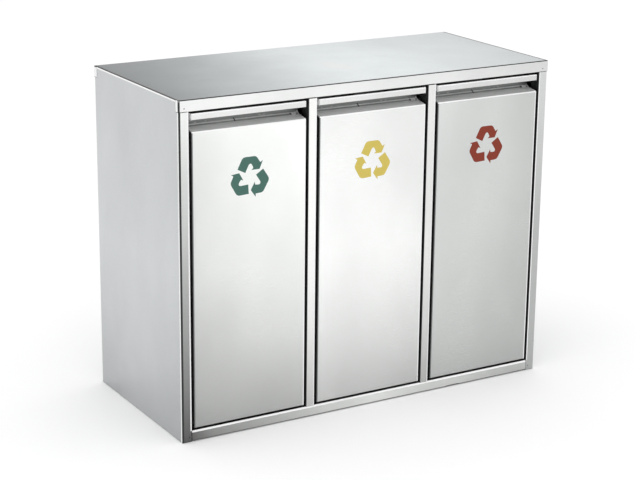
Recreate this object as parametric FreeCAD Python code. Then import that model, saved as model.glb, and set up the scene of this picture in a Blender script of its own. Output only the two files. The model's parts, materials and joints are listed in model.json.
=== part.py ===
"""Three-compartment stainless recycling bin: a folded-sheet cabinet with three tilt-out fronts.

Row frame in millimetres: origin on the floor under the middle of the cabinet, +X along the front
(left to right), +Y from the front to the back, +Z up.  Every sub-component is written as its own
STEP file, already in place with all three fronts shut and the carrying bails lying on their rims.
"""
import FreeCAD, Part
import math
import os

V = FreeCAD.Vector

# ---- cabinet ----------------------------------------------------------------------------------
WIDTH, DEPTH, HEIGHT = 1000.0, 450.0, 800.0
SHEET = 1.0                 # stainless sheet, cabinet and fronts
BEND = 1.5                  # inner radius of every bend
SIGN_T = 0.25               # vinyl sign thickness; also how far the front plane sits behind the box
HEAD_H = 1.2                # height of a rivet head
FRONT = -DEPTH / 2 + SIGN_T     # plane of the frame and of the shut fronts
BACK = DEPTH / 2 - HEAD_H       # rear face of the sheet metal
SIDE_X = WIDTH / 2 - SHEET      # outer face of a side panel
RAIL_H = 27.0               # height of the top and bottom rails
STILE_W, MULLION_W = 25.5, 23.0
FLANGE = 30.0               # depth of the inner flanges of stiles and mullions
REAR_RETURN = 20.0          # width of the side panels' rear returns
LIP = 12.0                  # inward lips of the two rails
TAB = 14.0                  # corner tabs of the top cap
SIDE_FOOT, RAIL_FOOT = 1.0, 2.0     # heights of the side and rail lower edges over the floor
SEAM = 0.3                  # gap left between sheets that butt
TOP_SLIT = 1.2              # dark slit between a mullion's head and the top rail
NOTCH_X, NOTCH_W, NOTCH_H = 250.0, 34.0, 2.5    # relief notch in the bottom rail
OPENING = (WIDTH - 2 * STILE_W - 2 * MULLION_W) / 3
PITCH = OPENING + MULLION_W         # spacing of the fronts
CENTRES = (-PITCH, 0.0, PITCH)
UNDER_TOP = HEIGHT - SHEET
HAT_Y, HAT_FLANGE, HAT_H = 25.0, 20.0, 18.5     # top stiffener: half width, flange, depth
WING = 15.0                 # flanges of the partitions

# ---- tilting fronts ---------------------------------------------------------------------------
DOOR_HALF = 144.0           # half the width of a front
DOOR_Z0, DOOR_Z1 = 32.5, 727.0      # flat face of a front
RETURN_D, FOOT_RETURN = 18.0, 16.0  # side and bottom returns of a front
SLOPE = ((31.0, 5.5), (40.0, 11.5)) # finger channel floor: depth behind the face, rise over its edge
BACK_WALL_Z = 765.0         # top of the channel's back wall
BAR_Z0, BAR_Z1, BAR_LIP = 753.0, 768.0, 8.0
BAR_END = 20.0              # end returns of the grip rail
LAP_Z = 739.2               # lower edge of the grip rail's lapped rear flange
PIVOT_Y, PIVOT_Z = FRONT + 7.75, 45.0
PIN_R, PIN_REACH, PIN_HEAD_R, PIN_HEAD_T = 3.0, 139.0, 6.0, 2.0
BUSH_FIT, BUSH_R, BUSH_COLLAR_R, COLLAR_T = 0.05, 4.5, 6.2, 1.5
OPEN_ANGLE = 30.0           # tilt of an open front, degrees

# ---- cradle and stops -------------------------------------------------------------------------
CHEEK_IN = DOOR_HALF - 2 * SHEET    # inner face of a cheek plate
CHEEK = ((-222.0, 34.5), (127.0, 34.5), (127.0, 250.0), (-150.0, 560.0), (-222.0, 560.0))
TRAY_Y0, TRAY_Y1, TRAY_Z = -205.0, 125.0, 36.0
TRAY_LIP, TRAY_BACK = 12.0, 60.0
BUFFER_X, BUFFER_Y, BUFFER_R, REST_GAP = 100.0, 95.0, 10.0, 0.3
STOP_Y0, STOP_Y1, STOP_Z0, STOP_Z1 = -206.0, -197.0, 416.0, 446.0
STOP_IN, TAB_OUT, TAB_T, TAB_LEG, STOP_GAP = 145.5, 149.5, 2.0, 14.0, 0.5
CATCH_HALF, CATCH_Z0, CATCH_Z1, CATCH_D = 22.0, 746.0, 764.0, 14.0
STRIKE_T, CATCH_GAP, CATCH_FOOT = 1.5, 0.5, 18.0

# ---- liners and bails -------------------------------------------------------------------------
LINER_X, LINER_Y, LINER_YC = 131.0, 155.0, -44.0    # half sizes and centre
LINER_Z0, LINER_Z1, LINER_T = 37.0, 566.0, 0.8
LINER_CORNER, LINER_FOOT_R = 24.0, 5.0
BEAD_R, BEAD_OUT = 3.0, 2.0
WIRE_R, WIRE_FIT, BAIL_X, BAIL_END, BAIL_ARM = 2.5, 0.05, 133.0, 143.0, 170.0
BAIL_Z = LINER_Z1 + BEAD_R + WIRE_R + REST_GAP
HOOK_R, BAIL_CORNER = 2.8, 22.0
GRIP_HALF, GRIP_R, GRIP_LIP_R, GRIP_LIP = 52.0, 6.5, 7.0, 4.0
EAR_HALF, EAR_IN, EAR_T, EAR_OVER, EAR_UNDER = 11.0, 136.6, 2.0, 9.0, 46.0

# ---- signs: one arrow of the three, drawn round the sign's centre -----------------------------
SIGN_Z = 608.0
ARROW = ((-31.2, 21.3), (-21.6, 40.3), (-19.3, 44.2), (-15.6, 47.0), (-11.0, 47.8), (12.0, 47.8),
         (16.0, 46.6), (19.0, 44.0), (26.6, 32.4), (33.0, 36.0), (24.6, 16.8), (3.9, 16.8),
         (9.0, 20.8), (6.0, 27.6), (3.8, 30.6), (1.0, 31.7), (-1.4, 30.6), (-3.4, 28.0),
         (-11.7, 11.5))

# ---- feet and fasteners -----------------------------------------------------------------------
FEET = [(x, y) for x in (-455.0, 0.0, 455.0) for y in (-180.0, 180.0)]
PAD_R, PAD_TOP_R, PAD_H, STEM_R, NUT_R, NUT_H = 15.0, 10.0, 8.0, 4.0, 7.5, 6.5
RIVET_R, RIVET_ROWS = 3.2, 6
STUD_R = 1.6
STUDS = ((485.5, 781.0), (481.0, 12.0))
EAR_RIVET_R, EAR_RIVET_Z = 2.5, 9.0

parts = {}


def box(x0, x1, y0, y1, z0, z1):
    """Block between two corners, in any order."""
    lo = V(min(x0, x1), min(y0, y1), min(z0, z1))
    hi = V(max(x0, x1), max(y0, y1), max(z0, z1))
    return Part.makeBox(hi.x - lo.x, hi.y - lo.y, hi.z - lo.z, lo)


def rod(radius, start, end, tip_radius=None):
    """Round bar, or cone, from one point to another."""
    axis = end - start
    if tip_radius is None:
        return Part.makeCylinder(radius, axis.Length, start, axis)
    return Part.makeCone(radius, tip_radius, axis.Length, start, axis)


def fuse(shapes):
    """One solid out of overlapping or touching solids."""
    return shapes[0].multiFuse(shapes[1:]).removeSplitter()


def mirrored(shape):
    """Copy on the other side of the plane X = 0."""
    return shape.mirror(V(0, 0, 0), V(1, 0, 0))


def both(shape):
    """A shape together with its mirror image."""
    return [shape, mirrored(shape)]


def unit(a, b):
    """Unit direction from a to b in the plane."""
    length = math.hypot(b[0] - a[0], b[1] - a[1])
    return ((b[0] - a[0]) / length, (b[1] - a[1]) / length)


def offset_right(points, distance):
    """Open polyline moved to its right-hand side, with mitred corners."""
    moved = []
    for i, point in enumerate(points):
        before = unit(points[i - 1], point) if i else unit(point, points[1])
        after = unit(point, points[i + 1]) if i + 1 < len(points) else before
        normal = (before[1] + after[1], -before[0] - after[0])
        scale = 2 * distance / (normal[0] ** 2 + normal[1] ** 2)
        moved.append((point[0] + normal[0] * scale, point[1] + normal[1] * scale))
    return moved


def rounded(points, right_radius, left_radius, place):
    """Edges along an open polyline, its corners turned into arcs."""
    edges, start = [], points[0]
    for i in range(1, len(points) - 1):
        d0, d1 = unit(points[i - 1], points[i]), unit(points[i], points[i + 1])
        cross = d0[0] * d1[1] - d0[1] * d1[0]
        radius = left_radius if cross > 0 else right_radius
        half = math.acos(max(-1.0, min(1.0, d0[0] * d1[0] + d0[1] * d1[1]))) / 2
        cut = radius * math.tan(half)
        a = (points[i][0] - d0[0] * cut, points[i][1] - d0[1] * cut)
        b = (points[i][0] + d1[0] * cut, points[i][1] + d1[1] * cut)
        toward = unit(points[i], ((a[0] + b[0]) / 2, (a[1] + b[1]) / 2))
        reach = radius / math.cos(half) - radius
        middle = (points[i][0] + toward[0] * reach, points[i][1] + toward[1] * reach)
        edges.append(Part.makeLine(place(start), place(a)))
        edges.append(Part.Arc(place(a), place(middle), place(b)).toShape())
        start = b
    edges.append(Part.makeLine(place(start), place(points[-1])))
    return edges


def folded(points, plane, start, end, sheet=SHEET, bend=BEND):
    """Sheet bent along a polyline of its outer face; the metal lies to the polyline's right.

    plane names the two axes of the polyline; the sheet runs from start to end along the third.
    """
    place = {"YZ": lambda p: V(start, p[0], p[1]), "XY": lambda p: V(p[0], p[1], start),
             "XZ": lambda p: V(p[0], start, p[1])}[plane]
    inner = offset_right(points, sheet)
    outside = rounded(points, bend + sheet, bend, place)
    inside = rounded(inner, bend, bend + sheet, place)
    ends = [Part.makeLine(place(a), place(b)) for a, b in zip((points[0], points[-1]),
                                                             (inner[0], inner[-1]))]
    wire = Part.Wire(Part.__sortEdges__(outside + inside + ends))
    along = {"YZ": V(1, 0, 0), "XY": V(0, 0, 1), "XZ": V(0, 1, 0)}[plane]
    return Part.Face(wire).extrude(along * (end - start))


def plate(outline, plane, start, thickness):
    """Flat plate from a closed outline."""
    place = {"YZ": lambda p: V(start, p[0], p[1]), "XZ": lambda p: V(p[0], start, p[1])}[plane]
    corners = [place(p) for p in outline]
    along = {"YZ": V(1, 0, 0), "XZ": V(0, 1, 0)}[plane]
    return Part.Face(Part.makePolygon(corners + corners[:1])).extrude(along * thickness)


def bent_wire(points, corner_radii, radius):
    """Round wire along a polyline in space, its corners turned into arcs."""
    pieces, start = [], points[0]
    for i, corner in enumerate(corner_radii, 1):
        d0 = (points[i] - points[i - 1]).normalize()
        d1 = (points[i + 1] - points[i]).normalize()
        half = d0.getAngle(d1) / 2
        a = points[i] - d0 * (corner * math.tan(half))
        b = points[i] + d1 * (corner * math.tan(half))
        toward = (d1 - d0).normalize()
        middle = points[i] + toward * (corner / math.cos(half) - corner)
        pieces += [Part.makeLine(start, a), Part.Arc(a, middle, b).toShape()]
        start = b
    pieces.append(Part.makeLine(start, points[-1]))
    path = Part.Wire(pieces)
    section = Part.Wire(Part.makeCircle(radius, points[0], points[1] - points[0]))
    return path.makePipeShell([section], True, True)


def round_box(half_x, half_y, yc, z0, z1, corner):
    """Upright block with rounded vertical edges."""
    block = box(-half_x, half_x, yc - half_y, yc + half_y, z0, z1)
    upright = [e for e in block.Edges if abs(e.tangentAt(e.FirstParameter).z) > 0.9]
    return block.makeFillet(corner, upright)


# ---- the cabinet ------------------------------------------------------------------------------
def top_cap():
    """Top sheet with a lipped front rail, a rear flange and four corner tabs."""
    cap = folded(((FRONT + LIP, HEIGHT - RAIL_H), (FRONT, HEIGHT - RAIL_H), (FRONT, HEIGHT),
                  (BACK, HEIGHT), (BACK, HEIGHT - RAIL_H)), "YZ", -WIDTH / 2, WIDTH / 2)
    inner = SIDE_X - SHEET - SEAM
    for x0, x1 in ((-WIDTH / 2, -inner), (inner, WIDTH / 2)):
        cap = cap.cut(box(x0, x1, FRONT + BEND + SHEET, FRONT + LIP + SHEET,
                          HEIGHT - RAIL_H - SHEET, HEIGHT - RAIL_H + SHEET))
    tabs = [box(s * SIDE_X, s * WIDTH / 2, y0, y1, HEIGHT - RAIL_H, HEIGHT - BEND - SHEET)
            for s in (-1, 1) for y0, y1 in ((FRONT + SHEET + BEND, FRONT + TAB),
                                            (BACK - TAB, BACK - SHEET - BEND))]
    risers = [box(s * SIDE_X, s * WIDTH / 2, y0, y1, HEIGHT - BEND - SHEET, UNDER_TOP)
              for s in (-1, 1) for y0, y1 in ((FRONT + SHEET + BEND, FRONT + TAB),
                                              (BACK - TAB, BACK - SHEET - BEND))]
    corners = [box(s * SIDE_X, s * WIDTH / 2, y0, y1, HEIGHT - RAIL_H, HEIGHT - BEND - SHEET)
               for s in (-1, 1) for y0, y1 in ((FRONT + SHEET / 2, FRONT + SHEET + BEND),
                                               (BACK - SHEET - BEND, BACK - SHEET / 2))]
    return fuse([cap] + tabs + risers + corners)


def side_left():
    """Side panel, folded into the left stile at the front and a return at the back."""
    head = HEIGHT - RAIL_H - SEAM
    stile_x = -WIDTH / 2 + STILE_W
    body = folded(((stile_x, FRONT + FLANGE), (stile_x, FRONT), (-SIDE_X, FRONT), (-SIDE_X, BACK),
                   (-SIDE_X + REAR_RETURN, BACK)), "XY", SIDE_FOOT, head)
    upper = box(-SIDE_X, -SIDE_X + SHEET, FRONT + SHEET + BEND, BACK - SHEET - BEND, head, UNDER_TOP)
    hole = rod(PIN_R, V(stile_x - 2 * SHEET, PIVOT_Y, PIVOT_Z), V(stile_x + SHEET, PIVOT_Y, PIVOT_Z))
    return fuse([body, upper]).cut(hole)


def base_pan():
    """Floor sheet, folded down into the bottom rail, the side flanges and the rear flange."""
    middle = WIDTH / 2 - STILE_W - SEAM
    outer = SIDE_X - SHEET
    rear = BACK - SHEET
    pan = folded(((FRONT + LIP, RAIL_FOOT), (FRONT, RAIL_FOOT), (FRONT, RAIL_H), (rear, RAIL_H),
                  (rear, RAIL_FOOT)), "YZ", -middle, middle)
    wings = []
    for s in (-1, 1):
        wing = folded(((-outer, RAIL_FOOT), (-outer, RAIL_H), (-middle + SHEET, RAIL_H)), "XZ",
                      FRONT + FLANGE + SHEET, rear - SHEET - BEND)
        wings.append(wing if s < 0 else mirrored(wing))
    notch = box(NOTCH_X - NOTCH_W / 2, NOTCH_X + NOTCH_W / 2, FRONT - SHEET, FRONT + LIP + SHEET,
                0, RAIL_FOOT + NOTCH_H)
    return fuse([pan] + wings).cut(notch)


def mullion():
    """Upright channel between two fronts, with two necks that reach the top cap."""
    half = MULLION_W / 2
    head = HEIGHT - RAIL_H - TOP_SLIT
    body = folded(((half, FRONT + FLANGE), (half, FRONT), (-half, FRONT), (-half, FRONT + FLANGE)),
                  "XY", RAIL_H, head)
    necks = both(box(half - SHEET, half, FRONT + LIP + SEAM, FRONT + FLANGE, head, UNDER_TOP))
    hole = rod(PIN_R, V(-MULLION_W, PIVOT_Y, PIVOT_Z), V(MULLION_W, PIVOT_Y, PIVOT_Z))
    return fuse([body] + necks).cut(hole)


def partition():
    """Sheet between two compartments, flanged at the foot and under the stiffener."""
    top = UNDER_TOP - HAT_H - SHEET
    return folded(((WING, RAIL_H), (-SHEET / 2, RAIL_H), (-SHEET / 2, top), (WING, top)), "XZ",
                  FRONT + FLANGE + SEAM, BACK - 2 * SHEET)


def stiffener():
    """Hat channel under the top sheet."""
    low = UNDER_TOP - HAT_H
    return folded(((-HAT_Y - HAT_FLANGE, UNDER_TOP), (-HAT_Y, UNDER_TOP), (-HAT_Y, low),
                   (HAT_Y, low), (HAT_Y, UNDER_TOP), (HAT_Y + HAT_FLANGE, UNDER_TOP)), "YZ",
                  -SIDE_X + 2 * SHEET, SIDE_X - 2 * SHEET)


def pivot_pin():
    """Right-hand pivot pin of a front, headed inside the frame."""
    flange = OPENING / 2
    at = [V(x, PIVOT_Y, PIVOT_Z) for x in (PIN_REACH, flange + SHEET, flange + SHEET + PIN_HEAD_T)]
    return fuse([rod(PIN_R, at[0], at[1]), rod(PIN_HEAD_R, at[1], at[2])])


def foot(x, y):
    """Pad, then stem with its lock nut."""
    pad = rod(PAD_R, V(x, y, 0), V(x, y, PAD_H), PAD_TOP_R)
    stem = rod(STEM_R, V(x, y, PAD_H), V(x, y, RAIL_H - SHEET))
    ring = [V(x + NUT_R * math.cos(math.radians(a)), y + NUT_R * math.sin(math.radians(a)),
              RAIL_H - SHEET - NUT_H) for a in range(0, 360, 60)]
    nut = Part.Face(Part.makePolygon(ring + ring[:1])).extrude(V(0, 0, NUT_H))
    return pad, fuse([stem, nut])


def dome(x, z, radius, face, height, way):
    """Low domed head on a face across Y; way is -1 towards the front and 1 towards the back."""
    return rod(radius, V(x, face, z), V(x, face + way * height, z), radius * 0.6)


def catch():
    """Magnet housing and the bracket it hangs on, behind a shut front."""
    y0 = FRONT + SLOPE[1][0] + SHEET + STRIKE_T + CATCH_GAP
    housing = box(-CATCH_HALF, CATCH_HALF, y0, y0 + CATCH_D, CATCH_Z0, CATCH_Z1)
    y1 = y0 + CATCH_D
    bracket = folded(((y1 + CATCH_FOOT, UNDER_TOP - SHEET), (y1 + SHEET, UNDER_TOP - SHEET),
                      (y1 + SHEET, CATCH_Z0)), "YZ", -CATCH_HALF, CATCH_HALF)
    return housing, bracket


# ---- a tilting front --------------------------------------------------------------------------
def door_panel():
    """Front sheet: foot return, face, finger-channel floor and back wall, and two side returns."""
    profile = [(FRONT + FOOT_RETURN, DOOR_Z0), (FRONT, DOOR_Z0), (FRONT, DOOR_Z1)]
    profile += [(FRONT + depth, DOOR_Z1 + rise) for depth, rise in SLOPE]
    profile += [(FRONT + SLOPE[1][0], BACK_WALL_Z)]
    face = folded(profile, "YZ", -DOOR_HALF, DOOR_HALF)
    side = box(DOOR_HALF - SHEET, DOOR_HALF, FRONT + SHEET / 2, FRONT + RETURN_D,
               DOOR_Z0 + SHEET / 2, DOOR_Z1 - SHEET)
    hole = rod(BUSH_R, V(-DOOR_HALF - SHEET, PIVOT_Y, PIVOT_Z), V(DOOR_HALF + SHEET, PIVOT_Y, PIVOT_Z))
    return fuse([face] + both(side)).cut(hole)


def grip_rail():
    """Grip bar with end returns, its top flange and the rear flange lapped on the back wall."""
    depth = FRONT + SLOPE[1][0]
    bar = folded(((FRONT + BAR_LIP, BAR_Z0), (FRONT, BAR_Z0), (FRONT, BAR_Z1), (depth, BAR_Z1),
                  (depth, LAP_Z)), "YZ", -DOOR_HALF, DOOR_HALF)
    end = box(DOOR_HALF - SHEET, DOOR_HALF, FRONT + SHEET / 2, FRONT + BAR_END,
              BAR_Z0 + SHEET / 2, BAR_Z1 - SHEET / 2)
    return fuse([bar] + both(end))


def cheek():
    """Right-hand cheek plate of the cradle."""
    hole = rod(BUSH_R, V(CHEEK_IN - SHEET, PIVOT_Y, PIVOT_Z), V(DOOR_HALF, PIVOT_Y, PIVOT_Z))
    return plate(CHEEK, "YZ", CHEEK_IN, SHEET).cut(hole)


def tray():
    """Shelf under the liner, turned up at the front and at the back."""
    return folded(((TRAY_Y0, TRAY_Z + TRAY_LIP), (TRAY_Y0, TRAY_Z), (TRAY_Y1, TRAY_Z),
                   (TRAY_Y1, TRAY_Z + TRAY_BACK))[::-1], "YZ", -CHEEK_IN, CHEEK_IN)


def bush():
    """Right-hand flanged bush, a running fit on its pin."""
    at = [V(x, PIVOT_Y, PIVOT_Z) for x in (CHEEK_IN - COLLAR_T, CHEEK_IN, DOOR_HALF)]
    sleeve = fuse([rod(BUSH_R, at[0], at[2]), rod(BUSH_COLLAR_R, at[0], at[1])])
    return sleeve.cut(rod(PIN_R + BUSH_FIT, at[0] - V(SHEET, 0, 0), at[2] + V(SHEET, 0, 0)))


def stop_tab():
    """Right-hand tab that meets the frame's stop when the front is fully open."""
    y0 = STOP_Y1 + STOP_GAP
    leg = box(DOOR_HALF - SHEET + TAB_T, TAB_OUT, y0, y0 + TAB_T, STOP_Z0, STOP_Z1)
    root = box(DOOR_HALF - SHEET, DOOR_HALF - SHEET + TAB_T, y0, y0 + TAB_LEG, STOP_Z0, STOP_Z1)
    tab = fuse([leg, root])
    tab.rotate(V(0, PIVOT_Y, PIVOT_Z), V(1, 0, 0), -OPEN_ANGLE)
    return tab


def liner():
    """Lift-out bucket with rounded corners and a wired rim."""
    shell = round_box(LINER_X, LINER_Y, LINER_YC, LINER_Z0, LINER_Z1, LINER_CORNER)
    shell = shell.makeFillet(LINER_FOOT_R, [e for e in shell.Edges
                                            if abs(e.BoundBox.ZMax - LINER_Z0) < LINER_T / 2])
    inner = round_box(LINER_X - LINER_T, LINER_Y - LINER_T, LINER_YC, LINER_Z0 + LINER_T,
                      LINER_Z1 + BEAD_R, LINER_CORNER - LINER_T)
    inner = inner.makeFillet(LINER_FOOT_R - LINER_T,
                             [e for e in inner.Edges
                              if abs(e.BoundBox.ZMax - LINER_Z0 - LINER_T) < LINER_T / 2])
    track = round_box(LINER_X + BEAD_OUT, LINER_Y + BEAD_OUT, LINER_YC, LINER_Z1, LINER_Z1 + BEAD_R,
                      LINER_CORNER + BEAD_OUT)
    loop = [f for f in track.Faces if abs(f.BoundBox.ZMax - LINER_Z1) < LINER_T / 2][0].OuterWire
    start = V(LINER_X + BEAD_OUT, LINER_YC, LINER_Z1)
    section = Part.Wire(Part.makeCircle(BEAD_R, start, V(0, 1, 0)))
    bead = loop.makePipeShell([section], True, False)
    return fuse([shell.cut(inner), bead])


def ear():
    """Right-hand bail ear, joggled round the bead, with its two rivets."""
    top, low = BAIL_Z + EAR_OVER, LINER_Z1 - EAR_UNDER
    jog = LINER_Z1 - 2 * EAR_OVER
    leaf = folded(((EAR_IN + EAR_T, top), (EAR_IN + EAR_T, LINER_Z1 - EAR_OVER),
                   (LINER_X + EAR_T, jog), (LINER_X + EAR_T, low)), "XZ",
                  LINER_YC - EAR_HALF, LINER_YC + EAR_HALF, EAR_T, BEND)
    leaf = leaf.cut(rod(WIRE_R + WIRE_FIT, V(LINER_X, LINER_YC, BAIL_Z), V(BAIL_END, LINER_YC, BAIL_Z)))
    rivets = [rod(EAR_RIVET_R, V(LINER_X + EAR_T, LINER_YC + y, low + EAR_RIVET_Z),
                  V(LINER_X + EAR_T + HEAD_H, LINER_YC + y, low + EAR_RIVET_Z), EAR_RIVET_R * 0.6)
              for y in (-EAR_HALF / 2, EAR_HALF / 2)]
    return [leaf] + rivets


def bail():
    """Carrying wire: two hooks, two arms and a crossbar."""
    y1 = LINER_YC + BAIL_ARM
    half = [V(BAIL_END, LINER_YC, BAIL_Z), V(BAIL_X, LINER_YC, BAIL_Z), V(BAIL_X, y1, BAIL_Z)]
    other = [V(-p.x, p.y, p.z) for p in reversed(half)]
    return bent_wire(half + other, (HOOK_R, BAIL_CORNER, BAIL_CORNER, HOOK_R), WIRE_R)


def bail_grip():
    """Moulded sleeve on the crossbar."""
    y1 = LINER_YC + BAIL_ARM
    at = [V(x, y1, BAIL_Z) for x in (-GRIP_HALF, -GRIP_HALF + GRIP_LIP, GRIP_HALF - GRIP_LIP,
                                     GRIP_HALF)]
    sleeve = fuse([rod(GRIP_R, at[0], at[3]), rod(GRIP_LIP_R, at[0], at[1]),
                   rod(GRIP_LIP_R, at[2], at[3])])
    return sleeve.cut(rod(WIRE_R, at[0] - V(SHEET, 0, 0), at[3] + V(SHEET, 0, 0)))


def sign():
    """Three chasing arrows."""
    arrows = []
    for turn in (0, 120, 240):
        arrow = plate([(x, SIGN_Z + z) for x, z in ARROW], "XZ", FRONT - SIGN_T, SIGN_T)
        arrow.rotate(V(0, 0, SIGN_Z), V(0, 1, 0), turn)
        arrows.append(arrow)
    return arrows


def put(name, shapes, dx=0.0):
    """Keep the solids of one sub-component, moved along X into place."""
    shapes = shapes if isinstance(shapes, list) else [shapes]
    moved = []
    for shape in shapes:
        shape = shape.copy()
        shape.translate(V(dx, 0, 0))
        moved += shape.Solids
    parts[name] = moved[0] if len(moved) == 1 else Part.makeCompound(moved)


put("top_cap", top_cap())
put("top_stiffener", stiffener())
put("side_left", side_left())
put("side_right", mirrored(side_left()))
back_x = SIDE_X - SHEET - BEND - SEAM
put("back_panel", box(-back_x, back_x, BACK - 2 * SHEET, BACK - SHEET, RAIL_H + SEAM,
                      UNDER_TOP - BEND - SEAM))
put("base_pan", base_pan())
for name, dx in (("left", -PITCH / 2), ("right", PITCH / 2)):
    put("mullion_" + name, mullion(), dx)
    put("partition_" + name, partition(), dx)
put("pivot_pins", [p for dx in CENTRES for p in [s.translated(V(dx, 0, 0)) for s in both(pivot_pin())]])
put("rest_buffers", [rod(BUFFER_R, V(dx + x, BUFFER_Y, RAIL_H),
                         V(dx + x, BUFFER_Y, TRAY_Z - REST_GAP), BUFFER_R - SHEET)
                     for dx in CENTRES for x in (-BUFFER_X, BUFFER_X)])
put("open_stops", [s.translated(V(dx, 0, 0)) for dx in CENTRES
                   for s in both(box(STOP_IN, OPENING / 2, STOP_Y0, STOP_Y1, STOP_Z0, STOP_Z1))])
put("catch_magnets", [catch()[0].translated(V(dx, 0, 0)) for dx in CENTRES])
put("catch_brackets", [catch()[1].translated(V(dx, 0, 0)) for dx in CENTRES])
put("glide_pads", [foot(x, y)[0] for x, y in FEET])
put("glide_stems", [foot(x, y)[1] for x, y in FEET])
put("frame_studs", [dome(s * x, z, STUD_R, FRONT, SIGN_T, -1) for s in (-1, 1) for x, z in STUDS])
rows = [RAIL_H * 2 + i * (HEIGHT - RAIL_H * 4) / (RIVET_ROWS - 1) for i in range(RIVET_ROWS)]
put("back_rivets", [dome(s * (SIDE_X - REAR_RETURN / 2), z, RIVET_R, BACK, HEAD_H, 1)
                    for s in (-1, 1) for z in rows])

for number, dx in enumerate(CENTRES, 1):
    put("door_%d" % number, door_panel(), dx)
    put("grip_rail_%d" % number, grip_rail(), dx)
    put("cheek_left_%d" % number, mirrored(cheek()), dx)
    put("cheek_right_%d" % number, cheek(), dx)
    put("tray_%d" % number, tray(), dx)
    put("bushes_%d" % number, both(bush()), dx)
    put("stop_tabs_%d" % number, both(stop_tab()), dx)
    y0 = FRONT + SLOPE[1][0] + SHEET
    put("strike_%d" % number, box(-CATCH_HALF, CATCH_HALF, y0, y0 + STRIKE_T, CATCH_Z0, CATCH_Z1), dx)
    put("liner_%d" % number, liner(), dx)
    put("ears_%d" % number, [s for piece in ear() for s in both(piece)], dx)
    put("bail_%d" % number, bail(), dx)
    put("bail_grip_%d" % number, bail_grip(), dx)
    put("sign_%d" % number, sign(), dx)

os.makedirs("parts", exist_ok=True)
for name, shape in parts.items():
    shape.exportStep("parts/%s.step" % name)
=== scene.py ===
import json
import math
import bpy
import bmesh
from mathutils import Matrix, Vector

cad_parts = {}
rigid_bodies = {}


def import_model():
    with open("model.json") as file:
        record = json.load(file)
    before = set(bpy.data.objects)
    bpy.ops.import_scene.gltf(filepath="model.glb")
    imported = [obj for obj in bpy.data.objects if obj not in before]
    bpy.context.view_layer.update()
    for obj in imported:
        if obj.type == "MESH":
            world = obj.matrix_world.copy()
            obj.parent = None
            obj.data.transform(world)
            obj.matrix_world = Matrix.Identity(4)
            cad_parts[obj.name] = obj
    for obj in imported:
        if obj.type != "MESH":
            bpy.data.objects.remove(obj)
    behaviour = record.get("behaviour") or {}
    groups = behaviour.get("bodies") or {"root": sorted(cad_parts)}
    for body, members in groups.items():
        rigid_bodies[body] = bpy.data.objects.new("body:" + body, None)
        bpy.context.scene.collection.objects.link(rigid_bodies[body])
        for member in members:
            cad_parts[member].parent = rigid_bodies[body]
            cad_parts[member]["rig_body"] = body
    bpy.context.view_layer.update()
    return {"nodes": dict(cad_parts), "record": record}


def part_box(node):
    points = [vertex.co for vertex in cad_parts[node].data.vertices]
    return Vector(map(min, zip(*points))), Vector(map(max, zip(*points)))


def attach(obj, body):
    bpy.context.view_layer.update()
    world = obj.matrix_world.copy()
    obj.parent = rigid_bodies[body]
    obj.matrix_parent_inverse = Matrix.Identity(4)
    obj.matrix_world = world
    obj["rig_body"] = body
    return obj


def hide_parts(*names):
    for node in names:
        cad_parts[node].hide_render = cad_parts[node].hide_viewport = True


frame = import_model()
nodes = frame["nodes"]
FRONTS = (1, 2, 3)
SLOTS = {s["node"]: s["material_slot"] for s in frame["record"]["subparts"]}
# STEELS holds lit and shaded copies of one stainless, with painted reflection and shade
GROUPS, TREES, STEELS = {}, {}, {}      # shader groups, geometry trees and stainless finishes
SIGN_COLOURS = {1: (0.071, 0.158, 0.131), 2: (0.640, 0.515, 0.120), 3: (0.240, 0.042, 0.024)}


# ---- camera, floor and light --------------------------------------------------------------------
AIM = Vector((-0.006, 0.0, 0.357))              # point that the camera looks at
AZIMUTH, ELEVATION, ROLL = -30.745, 16.697, 0.634       # degrees
DISTANCE, LENS = 4.373, 99.62                   # metres and millimetres


def link(obj):
    """Put an object in the scene."""
    bpy.context.scene.collection.objects.link(obj)
    return obj


def mesh_object(name, bm):
    """Object from a bmesh, which is used up."""
    mesh = bpy.data.meshes.new(name)
    bm.to_mesh(mesh)
    bm.free()
    return link(bpy.data.objects.new(name, mesh))


def place_camera():
    """Long lens from the left front, a little above the bin."""
    a, e, r = (math.radians(v) for v in (AZIMUTH, ELEVATION, ROLL))
    back = Vector((math.sin(a) * math.cos(e), -math.cos(a) * math.cos(e), math.sin(e)))
    right = Vector((math.cos(a), math.sin(a), 0))
    up = back.cross(right)
    side = right * math.cos(r) + up * math.sin(r)
    top = up * math.cos(r) - right * math.sin(r)
    camera = link(bpy.data.objects.new("Camera", bpy.data.cameras.new("Camera")))
    camera.data.lens = LENS
    turn = Matrix((side, top, back)).transposed().to_4x4()
    camera.matrix_world = Matrix.Translation(AIM + back * DISTANCE) @ turn
    bpy.context.scene.camera = camera


def softbox(name, place, aim, width, height, level):
    """Rectangular light whose face is `level` times as bright as a lit white card."""
    light = bpy.data.lights.new(name, "AREA")
    light.shape, light.size, light.size_y = "RECTANGLE", width, height
    light.energy = level * math.pi * width * height
    obj = link(bpy.data.objects.new(name, light))
    obj.location = place
    obj.rotation_euler = (Vector(aim) - Vector(place)).to_track_quat("-Z", "Y").to_euler()
    obj.visible_camera = False


def ramp_of(tree, value, stops):
    """Grey ramp through (place, level) stops."""
    ramp = tree.nodes.new("ShaderNodeValToRGB")
    line = ramp.color_ramp
    while len(line.elements) < len(stops):
        line.elements.new(0.5)
    for element, (place, level) in zip(line.elements, stops):
        element.position, element.color = place, (level, level, level, 1)
    tree.links.new(value, ramp.inputs[0])
    return ramp.outputs[0]


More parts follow.
